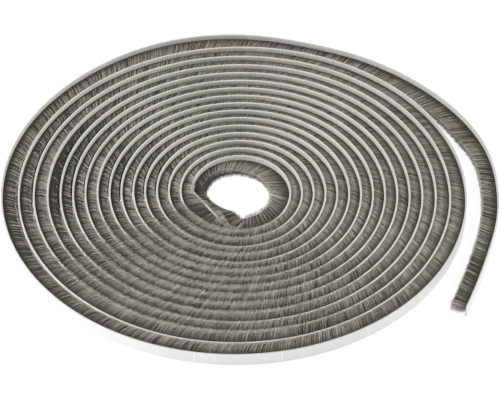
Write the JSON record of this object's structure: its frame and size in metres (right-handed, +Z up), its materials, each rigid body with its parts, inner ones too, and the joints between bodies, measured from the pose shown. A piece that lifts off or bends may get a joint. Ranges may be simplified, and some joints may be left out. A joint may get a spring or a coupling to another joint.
{
  "type": "brush seal strip",
  "caption": "Self-adhesive brush pile draught seal strip, one stock length wound into a loose flat coil with its outer end standing free",
  "frame": {"origin": "on the floor, in the middle of the box that the coil and its free tail take up", "axes": "+Z up along the coil's axis and across the strip's width; +X towards the side where the tail stands free; -Y towards the viewer of the picture, where the tail ends"},
  "size_m": [0.3546, 0.341, 0.0095],
  "materials": {
    "woven_backing": "fine ribbed weave of polypropylene, off-white",
    "liner_film": "smooth off-white release film with faint creases",
    "fibre_pile": "dense soft straight fibres, grey taupe"
  },
  "bodies": {
    "root": {"backing_strip": "woven_backing", "release_liner": "liner_film", "pile": "fibre_pile"}
  },
  "joints": []
}
